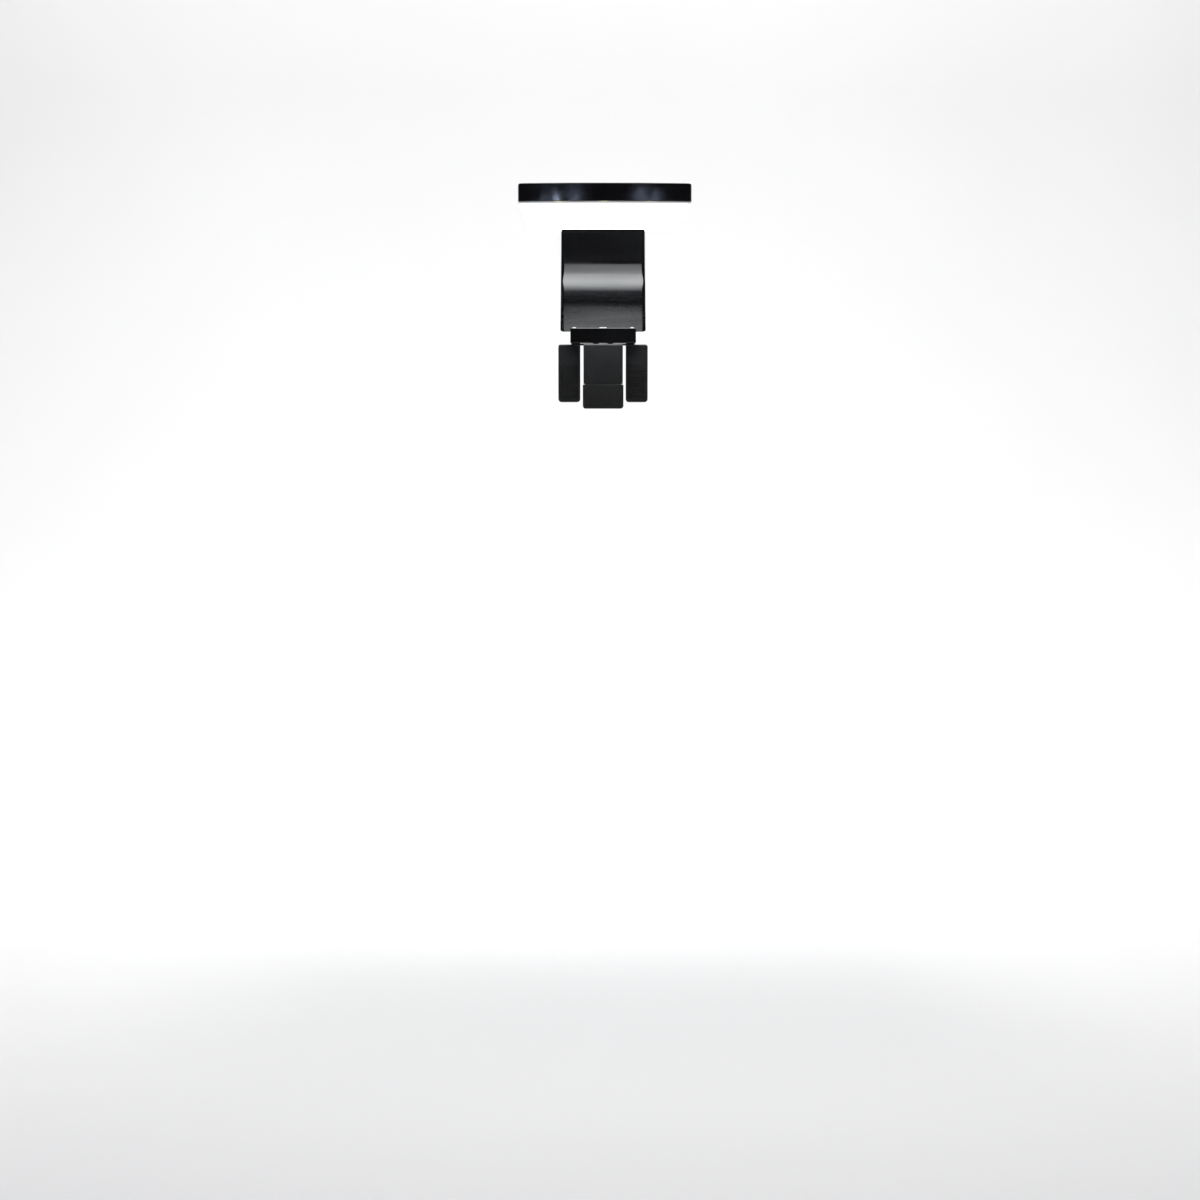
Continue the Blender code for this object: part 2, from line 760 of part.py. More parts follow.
def make_cable_gland():
    """The inlet's strain-relief bush: a flanged neck in the rear cover and a ribbed tail behind it."""
    outside = [(-2.3, 3.1), (GAP, 3.1), (GAP, 4.8), (1.4, 4.8), (1.6, 3.6)]
    for rib in range(4):
        at = 2.0 + rib * 1.7
        outside += [(at, 3.5 - 0.12 * rib), (at + 0.9, 3.4 - 0.12 * rib), (at + 0.95, 2.9 - 0.1 * rib),
                    (at + 1.6, 2.9 - 0.1 * rib)]
    outside += [(9.4, 2.9)]
    inside = [(9.4, GLAND_BORE), (-2.3, GLAND_BORE)]
    made = turned("cable_gland", (0, GLAND_FACE, GLAND_Z), (0, 1, 0), outside + inside, rubber_black(),
                  closed=True, count=28)
    shade(made)


def curve_points(stops, per_span):
    """Catmull-Rom points through stops."""
    ends = [2 * stops[0] - stops[1]] + list(stops) + [2 * stops[-1] - stops[-2]]
    points = []
    for i in range(1, len(ends) - 2):
        a, b, c, d = ends[i - 1:i + 3]
        for step in range(per_span):
            t = step / per_span
            points.append(0.5 * (2 * b + (c - a) * t + (2 * a - 5 * b + 4 * c - d) * t * t
                                 + (3 * b - a - 3 * c + d) * t ** 3))
    points.append(stops[-1])
    return points


def swept(name, points, radius, look, count, origin=(0.0, 0.0, 0.0)):
    """A round bar along points, carrying its section without twist."""
    rings = []
    last = len(points) - 1
    across = None
    for i, point in enumerate(points):
        axis = (points[min(i + 1, last)] - points[max(i - 1, 0)]).normalized()
        if across is None:
            across = plane_of(axis)[1]
        across = (across - axis * across.dot(axis)).normalized()
        rings.append(circle(point, radius, across, axis.cross(across), count))
    made = loft(name, rings, look, origin=origin)
    shade(made, 50.0)
    return made


def make_power_lead():
    """The mains-side lead inside the arm, from the gland's inner mouth to the driver's socket."""
    stops = [Vector((0.0, 3.4, GLAND_Z)), Vector((-0.1, 2.1, GLAND_Z + 1.6))]
    low = GLAND_Z + 4.5
    heights = 9
    for i in range(heights):
        z = low + (FLANGE_BASE - 3.0 - low) * i / (heights - 1)
        share = i / (heights - 1)
        x = LEAD_X * share * share * (3 - 2 * share)
        stops.append(Vector((x, 0.5 * (arm_front_at(z) + smooth_at(ARM_BACK, z)), z)))
    top_y = arm_front_at(FLANGE_BASE) + ARM_SKIN + 2.6
    stops += [Vector((LEAD_X, top_y, FLANGE_BASE + 1.0)), Vector((LEAD_X, top_y - 0.9, LEAD_HEIGHT - 1.2)),
              Vector((LEAD_X, top_y - 3.4, LEAD_HEIGHT)), Vector((LEAD_X, -4.0, LEAD_HEIGHT)),
              Vector((LEAD_X, DRIVER_REAR, LEAD_HEIGHT))]
    swept("power_lead", curve_points(stops, 4), LEAD_R, lead_sheath(), 12)


# Clamp

def corner(x, z, radius, start, end, steps=4):
    """Points of an arc about (x, z), between two angles in degrees."""
    angles = [math.radians(start + (end - start) * i / steps) for i in range(steps + 1)]
    return [(x + radius * math.cos(a), z + radius * math.sin(a)) for a in angles]


def bridge_outline():
    """The neck block from the side: a skirt in front of the hinge, which stops the arm, and a rear rail."""
    front = -BRIDGE_HALF_DEPTH
    rear = BRIDGE_HALF_DEPTH
    return ((front, BRIDGE_BASE), (rear, BRIDGE_BASE), (rear, BRIDGE_TOP), (rear - 0.7, BRIDGE_TOP + 0.7),
            (4.2, BRIDGE_TOP + 0.7), (3.4, BRIDGE_TOP), (SKIRT_REAR, BRIDGE_TOP),
            (SKIRT_REAR, SKIRT_SHOULDER), (SKIRT_REAR + SKIRT_LEAN, SKIRT_TOP - 0.2),
            (SKIRT_REAR + SKIRT_LEAN - 0.2, SKIRT_TOP), (front, SKIRT_TOP))


def finger_outline(side):
    """A finger from behind: round at its tip, with a root that rises into the bridge."""
    root_top = BRIDGE_TOP - 0.5
    root_side = NECK_HALF - 0.8
    r = FINGER_CORNER
    points = [(root_side, root_top), (FINGER_IN, root_top)]
    points += corner(FINGER_IN + r, FINGER_TIP + r, r, 180.0, 270.0)
    points += corner(FINGER_OUT - r, FINGER_TIP + r, r, 270.0, 360.0)
    points += corner(FINGER_OUT - 1.4, FINGER_TOP - 1.4, 1.4, 0.0, 90.0, 3)
    points += [(root_side, FINGER_TOP)]
    return [(side * x, z) for x, z in points]


def make_clamp_body():
    look = clamp_black()
    made = prism("clamp_body", bridge_outline(), -NECK_HALF, NECK_HALF, look)
    round_edges(made, 0.2, 1, 60.0)
    inside = BRIDGE_TOP - 0.5
    web = block("web", (-CENTRE_HALF, AXIS_Y - KNUCKLE_R, inside), (CENTRE_HALF, AXIS_Y + KNUCKLE_R, AXIS_Z),
                look)
    barrel = ((0, KNUCKLE_R), (2 * CENTRE_HALF, KNUCKLE_R))
    add(web, turned("barrel", (-CENTRE_HALF, AXIS_Y, AXIS_Z), (1, 0, 0), barrel, look, count=40))
    add(made, web)
    for side in (-1, 1):
        finger = prism("finger", finger_outline(side), FINGER_FRONT, FINGER_REAR, look, "Y")
        round_edges(finger, 0.45, 1, 60.0)
        add(made, finger)
        near, far = sorted((side * LUG_IN, side * LUG_OUT))
        lug = prism("lug", ((-8.2, inside), (-8.2, JAW_AXIS_Z), (JAW_AXIS_Y + 2.2, JAW_AXIS_Z),
                            (JAW_AXIS_Y + 2.2, inside)), near, far, look)
        nose = ((0, 2.2), (far - near, 2.2))
        add(lug, turned("nose", (near, JAW_AXIS_Y, JAW_AXIS_Z), (1, 0, 0), nose, look, count=28))
        add(made, lug)
    bore = ((0, HINGE_PIN_R + PIN_GAP), (60.0, HINGE_PIN_R + PIN_GAP))
    cut(made, turned("bore", (-30.0, AXIS_Y, AXIS_Z), (1, 0, 0), bore, look))
    eye = ((0, JAW_PIN_R + PIN_GAP), (2 * JAW_HALF, JAW_PIN_R + PIN_GAP))
    cut(made, turned("eye", (-JAW_HALF, JAW_AXIS_Y, JAW_AXIS_Z), (1, 0, 0), eye, look, count=20))
    shade(made)


def make_hinge_hardware():
    length = 2 * NECK_HALF - 0.8
    taper = 0.35
    pin = ((0, HINGE_PIN_R - taper), (taper, HINGE_PIN_R), (length - taper, HINGE_PIN_R),
           (length, HINGE_PIN_R - taper))
    shade(turned("hinge_pin", (-length / 2, AXIS_Y, AXIS_Z), (1, 0, 0), pin, pin_steel(),
                 origin=(0, AXIS_Y, AXIS_Z)))
    for side, name in ((-1, "left"), (1, "right")):
        start = min(side * (CENTRE_HALF + GAP), side * (CENTRE_HALF + GAP + WASHER_THICK))
        ring = ((0, 2.9), (WASHER_THICK, 2.9), (WASHER_THICK, 1.6), (0, 1.6))
        shade(turned("friction_washer_" + name, (start, AXIS_Y, AXIS_Z), (1, 0, 0), ring, spring_steel(),
                     closed=True))


def make_pads():
    look = rubber_black()
    pad = block("saddle_pad", (-SADDLE_HALF, -SADDLE_DEPTH, 0.0), (SADDLE_HALF, SADDLE_DEPTH, SADDLE_THICK),
                look, 0.2, 1)
    shade(pad)
    for side, name in ((-1, "left"), (1, "right")):
        near, far = sorted((side * (FINGER_IN + 1.2), side * (FINGER_OUT - 1.2)))
        grip = block("finger_pad_" + name, (near, GLASS_HALF, -33.0), (far, GLASS_HALF + PAD_THICK, -12.0),
                     look, 0.15, 1)
        shade(grip)


def jaw_profile():
    """The jaw from the side: a skin over its knuckles, then a plate that narrows into the boot."""
    points = [(JAW_SKIN + 0.5, JAW_TOP), (JAW_AXIS_Y - 2.0, JAW_TOP)]
    for i in range(9):
        angle = math.radians(110.0 - 110.0 * i / 8)
        points.append((JAW_AXIS_Y + JAW_KNUCKLE_R * math.cos(angle),
                       JAW_AXIS_Z + JAW_KNUCKLE_R * math.sin(angle)))
    points += [(JAW_BACK, JAW_AXIS_Z - 2.4), (JAW_BACK, JAW_TIP + 1.0), (JAW_BACK - 1.0, JAW_TIP),
               (BOOT_FRONT + 1.0, JAW_TIP), (BOOT_FRONT, JAW_TIP + 1.0), (BOOT_FRONT, BOOT_TOP - 1.0),
               (BOOT_FRONT - 0.6, BOOT_TOP + 1.0), (JAW_SKIN, -10.0), (JAW_SKIN, JAW_TOP - 0.5)]
    return points


def make_clamp_jaw():
    look = clamp_black()
    made = prism("clamp_jaw", jaw_profile(), -JAW_HALF, JAW_HALF, look)
    round_edges(made, 0.35, 1, 60.0)
    pocket = block("pocket", (-LUG_OUT - GAP, -9.0, JAW_AXIS_Z - 3.0),
                   (LUG_OUT + GAP, -2.0, JAW_TOP + 1.0), look)
    cut(made, pocket)
    channel = block("channel", (-LUG_IN, JAW_AXIS_Y, -12.6), (LUG_IN, -2.0, JAW_AXIS_Z - 2.5), look)
    cut(made, channel)
    for side in (-1, 1):
        near, far = sorted((side * (JAW_HALF - BOOT_NARROW), side * (JAW_HALF + 1.0)))
        cut(made, block("side", (near, -12.0, JAW_TIP - 1.0), (far, 0.0, BOOT_TOP + 0.4), look))
    eye = ((0, JAW_PIN_R + PIN_GAP), (40.0, JAW_PIN_R + PIN_GAP))
    cut(made, turned("eye", (-20.0, JAW_AXIS_Y, JAW_AXIS_Z), (1, 0, 0), eye, look, count=20))
    set_origin(made, (0.0, JAW_AXIS_Y, JAW_AXIS_Z))
    shade(made)


def make_jaw_boot():
    look = rubber_black()
    inside = JAW_HALF - BOOT_NARROW + GAP
    half = inside + BOOT_WALL
    tip = JAW_TIP - GAP - BOOT_WALL
    r = BOOT_CORNER
    outline = [(half, BOOT_TOP), (-half, BOOT_TOP)]
    outline += corner(r - half, tip + r, r, 180.0, 270.0)
    outline += corner(half - r, tip + r, r, 270.0, 360.0)
    made = prism("jaw_boot", outline, BOOT_FRONT - GAP - BOOT_WALL, JAW_BACK + GAP + BOOT_WALL, look, "Y",
                 origin=(0.0, JAW_AXIS_Y, JAW_AXIS_Z))
    round_edges(made, 0.5, 2, 60.0)
    hollow = block("hollow", (-inside, BOOT_FRONT - GAP, JAW_TIP - GAP),
                   (inside, JAW_BACK + GAP, BOOT_TOP + 2.0), look)
    cut(made, hollow)
    shade(made)


def make_jaw_hardware():
    length = 2 * JAW_HALF - 0.6
    pin = ((0, JAW_PIN_R - 0.2), (0.2, JAW_PIN_R), (length - 0.2, JAW_PIN_R), (length, JAW_PIN_R - 0.2))
    shade(turned("jaw_pin", (-length / 2, JAW_AXIS_Y, JAW_AXIS_Z), (1, 0, 0), pin, pin_steel(), count=24,
                 origin=(0, JAW_AXIS_Y, JAW_AXIS_Z)))
    side_y = JAW_AXIS_Y + SPRING_R
    half = 1.9
    points = [Vector((half, side_y, 0.6)), Vector((half, side_y, JAW_AXIS_Z + 1.2))]
    steps = 16 * SPRING_TURNS
    for i in range(steps + 1):
        angle = 2.0 * math.pi * i / 16
        points.append(Vector((half - 2 * half * i / steps, JAW_AXIS_Y + SPRING_R * math.cos(angle),
                              JAW_AXIS_Z - SPRING_R * math.sin(angle))))
    points += [Vector((-half, side_y, JAW_AXIS_Z - 1.2)), Vector((-half, side_y, -12.0))]
    swept("jaw_spring", points, WIRE_R, spring_steel(), 8, origin=(0, JAW_AXIS_Y, JAW_AXIS_Z))


def make_light():
    clear_scene()
    make_top_housing()
    make_lens_cover()
    make_cover_gasket()
    make_reflector_tray()
    make_light_engine()
    make_driver()
    make_mode_button()
    make_arm_front_cover()
    make_arm_rear_cover()
    make_arm_screws()
    make_head_screws()
    make_cable_gland()
    make_power_lead()
    make_clamp_body()
    make_hinge_hardware()
    make_pads()
    make_clamp_jaw()
    make_jaw_boot()
    make_jaw_hardware()


make_light()
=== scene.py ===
"""Looks for the clip-on LED aquarium light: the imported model, its finishes, a pale stage and a camera.

Lengths are in metres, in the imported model's own frame.
"""

import json
import math

import bmesh
import bpy
import numpy as np
from mathutils import Matrix, Vector


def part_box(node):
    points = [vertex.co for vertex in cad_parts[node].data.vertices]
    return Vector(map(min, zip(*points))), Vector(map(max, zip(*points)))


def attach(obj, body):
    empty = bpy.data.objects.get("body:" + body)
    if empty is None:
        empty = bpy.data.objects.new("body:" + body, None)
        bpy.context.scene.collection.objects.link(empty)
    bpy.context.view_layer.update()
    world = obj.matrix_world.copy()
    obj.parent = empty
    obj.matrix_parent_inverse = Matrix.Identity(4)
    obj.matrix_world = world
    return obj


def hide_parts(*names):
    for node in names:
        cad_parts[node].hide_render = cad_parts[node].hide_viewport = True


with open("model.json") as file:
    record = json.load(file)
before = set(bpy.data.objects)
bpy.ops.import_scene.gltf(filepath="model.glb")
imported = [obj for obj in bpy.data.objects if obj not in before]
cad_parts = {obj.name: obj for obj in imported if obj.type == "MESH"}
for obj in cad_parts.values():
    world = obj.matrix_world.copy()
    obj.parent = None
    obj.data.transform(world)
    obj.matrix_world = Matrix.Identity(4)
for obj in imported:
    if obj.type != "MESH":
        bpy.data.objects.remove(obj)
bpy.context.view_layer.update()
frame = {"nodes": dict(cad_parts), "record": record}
nodes = frame["nodes"]

MM = 0.001


# Camera

CAMERA_AT = (-0.0090, -1.4585, -0.056)
CAMERA_LENS = 71.0
CAMERA_SENSOR = 36.0
CAMERA_PITCH = 3.94
CAMERA_YAW = -0.28


def make_camera():
    """The camera in front of the light and lower than it, turned slightly down."""
    data = bpy.data.cameras.new("camera")
    data.lens = CAMERA_LENS
    data.sensor_width = CAMERA_SENSOR
    data.clip_start = 0.05
    data.clip_end = 50.0
    camera = bpy.data.objects.new("camera", data)
    camera.location = CAMERA_AT
    camera.rotation_euler = (math.radians(90.0 - CAMERA_PITCH), 0.0, math.radians(CAMERA_YAW))
    bpy.context.scene.collection.objects.link(camera)
    bpy.context.scene.camera = camera


# Shader building

def new_material(name):
    made = bpy.data.materials.new(name)
    made.use_nodes = True
    shader = made.node_tree.nodes["Principled BSDF"]
    return made, made.node_tree, shader


def noise(tree, scale, detail=3.0, rough=0.5, stretch=(1.0, 1.0, 1.0)):
    """Noise in the piece's own space; scale is in features per metre."""
    where = tree.nodes.new("ShaderNodeTexCoord")
    mapping = tree.nodes.new("ShaderNodeMapping")
    mapping.inputs["Scale"].default_value = stretch
    made = tree.nodes.new("ShaderNodeTexNoise")
    made.inputs["Scale"].default_value = scale
    made.inputs["Detail"].default_value = detail
    made.inputs["Roughness"].default_value = rough
    tree.links.new(where.outputs["Object"], mapping.inputs["Vector"])
    tree.links.new(mapping.outputs["Vector"], made.inputs["Vector"])
    return made.outputs["Fac"]


def ramp(tree, value, low, high, at_low=0.0, at_high=1.0):
    """Turns the range low to high into at_low to at_high, and clamps it there."""
    made = tree.nodes.new("ShaderNodeMapRange")
    made.inputs["From Min"].default_value = low
    made.inputs["From Max"].default_value = high
    made.inputs["To Min"].default_value = at_low
    made.inputs["To Max"].default_value = at_high
    tree.links.new(value, made.inputs["Value"])
    return made.outputs["Result"]


def maths(tree, operation, a, b):
    made = tree.nodes.new("ShaderNodeMath")
    made.operation = operation
    for socket, value in zip(made.inputs, (a, b)):
        if isinstance(value, (int, float)):
            socket.default_value = value
        else:
            tree.links.new(value, socket)
    return made.outputs[0]


def blend_colour(tree, factor, a, b):
    made = tree.nodes.new("ShaderNodeMix")
    made.data_type = "RGBA"
    tree.links.new(factor, made.inputs["Factor"])
    for socket, value in zip((made.inputs[6], made.inputs[7]), (a, b)):
        if isinstance(value, tuple):
            socket.default_value = (*value, 1.0)
        else:
            tree.links.new(value, socket)
    return made.outputs[2]


def bump(tree, shader, height, strength, distance, under=None):
    """Surface relief from height, laid over the relief under if there is one."""
    made = tree.nodes.new("ShaderNodeBump")
    made.inputs["Strength"].default_value = strength
    made.inputs["Distance"].default_value = distance
    tree.links.new(height, made.inputs["Height"])
    if under is not None:
        tree.links.new(under, made.inputs["Normal"])
    tree.links.new(made.outputs["Normal"], shader.inputs["Normal"])
    return made.outputs["Normal"]


def worn_edge(tree):
    """Where a rounded edge is rubbed: the mesh's edge attribute, broken up by noise."""
    made = tree.nodes.new("ShaderNodeAttribute")
    made.attribute_name = "edge"
    return maths(tree, "MULTIPLY", made.outputs["Fac"], ramp(tree, noise(tree, 700.0), 0.48, 0.66))


def along(tree, axis, kind="Object"):
    """One coordinate of the piece's own position, or of its normal."""
    where = tree.nodes.new("ShaderNodeTexCoord")
    split = tree.nodes.new("ShaderNodeSeparateXYZ")
    tree.links.new(where.outputs[kind], split.inputs["Vector"])
    return split.outputs[axis]


def scaled(colour, factor, lift=0.0):
    return tuple(factor * value + lift for value in colour)


# Finishes

DUST_COLOUR = (0.24, 0.235, 0.23)
DUST_COVER = 0.12
DUST_DULLING = 0.25
WORN_SHARE = 0.35


def settled_dust(tree):
    """Dust on faces that look up: fine specks and thin clouds."""
    specks = ramp(tree, noise(tree, 1900.0, 1.0), 0.68, 0.76)
    clouds = ramp(tree, noise(tree, 55.0, 5.0), 0.48, 0.80, 0.0, 0.35)
    return maths(tree, "MULTIPLY", ramp(tree, along(tree, "Z", "Normal"), 0.80, 0.98),
                 maths(tree, "ADD", specks, clouds))


def moulded_black(name, colour, roughness, grain, streak=(1.0, 1.0, 1.0)):
    """Moulded black plastic: soft flow marks, fine grain, settled dust and paler rubbed edges."""
    made, tree, shader = new_material(name)
    flow = ramp(tree, noise(tree, 42.0, 4.0), 0.35, 0.65)
    base = blend_colour(tree, flow, scaled(colour, 0.75), scaled(colour, 1.15))
    rubbed = maths(tree, "MULTIPLY", worn_edge(tree), WORN_SHARE)
    base = blend_colour(tree, rubbed, base, scaled(colour, 2.0, 0.02))
    settled = settled_dust(tree)
    base = blend_colour(tree, maths(tree, "MULTIPLY", settled, DUST_COVER), base, DUST_COLOUR)
    tree.links.new(base, shader.inputs["Base Color"])
    smear = ramp(tree, noise(tree, 60.0, 6.0, 0.62, streak), 0.38, 0.68, -0.04, 0.06)
    fine = ramp(tree, noise(tree, 1500.0, 2.0), 0.3, 0.7, -0.015, 0.015)
    gloss = maths(tree, "ADD", maths(tree, "ADD", smear, fine), roughness)
    gloss = maths(tree, "ADD", gloss, maths(tree, "MULTIPLY", settled, DUST_DULLING))
    tree.links.new(gloss, shader.inputs["Roughness"])
    slow = bump(tree, shader, noise(tree, 90.0, 2.0, 0.5, streak), 0.04, 0.0004)
    bump(tree, shader, noise(tree, 2600.0, 2.0), grain, 0.0002, slow)
    return made, tree, shader


def arm_finish():
    """The arm: polished above, and dulled towards its lip by dried spray."""
    made, tree, shader = moulded_black("arm_finish", (0.0013, 0.0013, 0.0015), 0.10, 0.03,
                                       streak=(0.25, 1.0, 2.6))
    gloss = shader.inputs["Roughness"].links[0].from_socket
    haze = ramp(tree, along(tree, "Z"), 0.044, 0.030, 0.0, 0.16)
    tree.links.new(maths(tree, "ADD", gloss, haze), shader.inputs["Roughness"])
    return made


def housing_finish():
    return moulded_black("housing_finish", (0.0040, 0.0038, 0.0065), 0.09, 0.015)[0]


def button_finish():
    return moulded_black("button_finish", (0.020, 0.020, 0.022), 0.48, 0.08)[0]


# Two tones of the lower clamp's colour, both paler than the black above: painted haze of scattered light
MATT_HAZE_DARK = (0.0055, 0.0055, 0.0055)
MATT_HAZE_PALE = (0.0125, 0.0125, 0.0125)
MATT_ROUGHNESS = 0.32


def clamp_finish():
    """The clamp: polished black at the neck, and a rougher, spark-eroded texture below it, whose paler
    colour is painted haze of scattered light.
    """
    made, tree, shader = moulded_black("clamp_finish", (0.0010, 0.0010, 0.0012), 0.12, 0.03)
    base = shader.inputs["Base Color"].links[0].from_socket
    gloss = shader.inputs["Roughness"].links[0].from_socket
    lower = ramp(tree, along(tree, "Z"), 0.0016, 0.0006)
    texture = noise(tree, 1300.0, 3.0, 0.6)
    # Paler colour below the neck is painted haze of scattered light; the added roughness and relief there
    # are the real matt texture
    matt_haze = blend_colour(tree, ramp(tree, texture, 0.3, 0.7), MATT_HAZE_DARK, MATT_HAZE_PALE)
    tree.links.new(blend_colour(tree, lower, base, matt_haze), shader.inputs["Base Color"])
    gloss = maths(tree, "ADD", gloss, maths(tree, "MULTIPLY", lower, MATT_ROUGHNESS))
    tree.links.new(gloss, shader.inputs["Roughness"])
    under = shader.inputs["Normal"].links[0].from_socket
    bump(tree, shader, maths(tree, "MULTIPLY", texture, lower), 0.22, 0.0002, under)
    return made


def rubber(name, colour, grain=0.35):
    """Soft rubber: cloudy bloom, a matt skin and paler rubbed edges."""
    made, tree, shader = new_material(name)
    cloud = ramp(tree, noise(tree, 120.0, 4.0), 0.35, 0.7)
    base = blend_colour(tree, cloud, colour, scaled(colour, 1.5))
    bloom = ramp(tree, noise(tree, 420.0, 5.0), 0.58, 0.82, 0.0, 0.25)
    pale = maths(tree, "ADD", bloom, maths(tree, "MULTIPLY", worn_edge(tree), 0.3))
    base = blend_colour(tree, pale, base, scaled(colour, 1.0, 0.02))
    tree.links.new(base, shader.inputs["Base Color"])
    tree.links.new(ramp(tree, noise(tree, 800.0), 0.3, 0.7, 0.55, 0.75), shader.inputs["Roughness"])
    shader.inputs["Specular IOR Level"].default_value = 0.3
    shader.inputs["Sheen Weight"].default_value = 0.03
    bump(tree, shader, noise(tree, 1700.0, 3.0), grain, 0.0003)
    return made


# How strongly the lens glows at the front and rear of LENS_SPAN, and around its rim
LENS_FRONT = 2.8
LENS_REAR = 10.5
LENS_RIM = 0.35
# The glow rises along Y over LENS_SPAN, as the LENS_CURVE-th power of the way
LENS_CURVE = 2.5
LENS_SPAN = (-0.135, -0.015)


def opal_finish():
    """Lit opal acrylic: its face glows, most towards the arm, and its rounded rim is greyer."""
    made, tree, shader = new_material("opal_finish")
    shader.inputs["Base Color"].default_value = (0.90, 0.92, 0.94, 1.0)
    shader.inputs["Coat Weight"].default_value = 0.3
    shader.inputs["Emission Color"].default_value = (0.95, 0.98, 1.0, 1.0)
    tree.links.new(ramp(tree, noise(tree, 300.0), 0.3, 0.7, 0.16, 0.24), shader.inputs["Roughness"])
    face = ramp(tree, along(tree, "Z", "Normal"), -0.70, -0.99)
    rise = maths(tree, "POWER", ramp(tree, along(tree, "Y"), *LENS_SPAN), LENS_CURVE)
    depth = ramp(tree, rise, 0.0, 1.0, LENS_FRONT, LENS_REAR)
    spots = ramp(tree, noise(tree, 30.0, 2.0), 0.3, 0.7, 0.86, 1.14)
    lit = maths(tree, "MULTIPLY", face, maths(tree, "MULTIPLY", depth, spots))
    tree.links.new(maths(tree, "ADD", lit, LENS_RIM), shader.inputs["Emission Strength"])
    bump(tree, shader, noise(tree, 700.0), 0.04, 0.0002)
    return made


def metal(name, colour, roughness, scratch=(1.0, 1.0, 1.0)):
    """Bare metal with fine scratches; scratch stretches them along an axis."""
    made, tree, shader = new_material(name)
    shader.inputs["Metallic"].default_value = 1.0
    lines = noise(tree, 900.0, 4.0, 0.6, scratch)
    base = blend_colour(tree, ramp(tree, lines, 0.35, 0.65), scaled(colour, 0.8), colour)
    tree.links.new(base, shader.inputs["Base Color"])
    gloss = ramp(tree, lines, 0.3, 0.7, roughness - 0.06, roughness + 0.08)
    tree.links.new(gloss, shader.inputs["Roughness"])
    bump(tree, shader, lines, 0.12, 0.0002)
    return made


def inner(name, low, high, roughness, scale=600.0, strength=0.08, metallic=0.0, glow=0.0):
    """An inner piece's finish: two tones, broken gloss and a fine surface."""
    made, tree, shader = new_material(name)
    mottled = noise(tree, scale, 4.0)
    base = blend_colour(tree, ramp(tree, mottled, 0.35, 0.65), low, high)
    tree.links.new(base, shader.inputs["Base Color"])
    gloss = ramp(tree, mottled, 0.3, 0.7, roughness - 0.06, roughness + 0.06)
    tree.links.new(gloss, shader.inputs["Roughness"])
    shader.inputs["Metallic"].default_value = metallic
    if glow:
        shader.inputs["Emission Color"].default_value = (*high, 1.0)
        shader.inputs["Emission Strength"].default_value = glow
    bump(tree, shader, noise(tree, 2.0 * scale), strength, 0.0002)
    return made


def make_finishes():
    """One material for each of the record's material slots."""
    return {
        "housing_black": housing_finish(),
        "arm_black": arm_finish(),
        "clamp_black": clamp_finish(),
        "button_black": button_finish(),
        "opal_acrylic": opal_finish(),
        "rubber_black": rubber("rubber_finish", (0.0055, 0.0055, 0.0055)),
        "gasket_silicone": rubber("gasket_finish", (0.28, 0.29, 0.31)),
        "lead_sheath": rubber("lead_finish", (0.012, 0.012, 0.012), 0.15),
        "pin_steel": metal("pin_finish", (0.62, 0.62, 0.64), 0.22, (0.1, 1.0, 1.0)),
        "spring_steel": metal("spring_finish", (0.42, 0.42, 0.44), 0.30),
        "screw_steel": metal("screw_finish", (0.52, 0.53, 0.55), 0.30),
        "spreader_aluminium": metal("spreader_finish", (0.80, 0.80, 0.82), 0.34, (0.05, 1.0, 1.0)),
        "white_board": inner("white_board_finish", (0.84, 0.84, 0.82), (0.90, 0.90, 0.88), 0.32),
        "green_board": inner("green_board_finish", (0.012, 0.11, 0.05), (0.02, 0.17, 0.08), 0.34),
        "tray_white": inner("tray_finish", (0.86, 0.86, 0.86), (0.93, 0.93, 0.93), 0.28, 300.0),
        "led_phosphor": inner("led_finish", (0.95, 0.82, 0.34), (1.0, 0.90, 0.5), 0.38,
                              1500.0, 0.1, glow=4.0),
        "ferrite_grey": inner("ferrite_finish", (0.05, 0.05, 0.055), (0.09, 0.09, 0.095), 0.6,
                              1500.0, 0.3),
        "capacitor_sleeve": inner("capacitor_finish", (0.5, 0.51, 0.54), (0.68, 0.69, 0.72), 0.26,
                                  900.0, 0.05, metallic=1.0),
        "chip_epoxy": inner("chip_finish", (0.014, 0.014, 0.015), (0.03, 0.03, 0.032), 0.5, 1800.0, 0.25),
        "connector_nylon": inner("connector_finish", (0.76, 0.72, 0.60), (0.86, 0.83, 0.72), 0.42),
    }


# Pieces

SHARP = math.radians(32.0)
SMOOTHED = math.radians(50.0)
FLAT = math.radians(0.5)
WELD = 1e-6
SMALLEST = 1e-7
# How far each piece's sharp edges are rounded, in mm; the others keep theirs
EDGE_RADIUS = {
    "top_housing": 0.22, "lens_cover": 0.20, "arm_front_cover": 0.25, "arm_rear_cover": 0.20,
    "clamp_body": 0.18, "clamp_jaw": 0.18, "jaw_boot": 0.12, "mode_button": 0.12, "cable_gland": 0.10,
    "saddle_pad": 0.10, "finger_pad_left": 0.08, "finger_pad_right": 0.08,
}


def link(name, mesh):
    made = bpy.data.objects.new(name, mesh)
    bpy.context.scene.collection.objects.link(made)
    return made


def welded(node):
    """The node's mesh with its points joined and its flat faces made whole."""
    bm = bmesh.new()
    bm.from_mesh(nodes[node].data)
    bmesh.ops.remove_doubles(bm, verts=bm.verts[:], dist=WELD)
    bmesh.ops.dissolve_limit(bm, angle_limit=FLAT, verts=bm.verts[:], edges=bm.edges[:])
    return bm


def rounded(bm, radius):
    """Rounds every sharp edge, and returns the faces that the rounding made."""
    paired = [edge for edge in bm.edges if len(edge.link_faces) == 2]
    edges = [edge for edge in paired if edge.calc_face_angle(0.0) > SHARP]
    result = bmesh.ops.bevel(bm, geom=edges, offset=radius * MM, segments=2, profile=0.5,
                             affect="EDGES", clamp_overlap=True)
    return result["faces"]


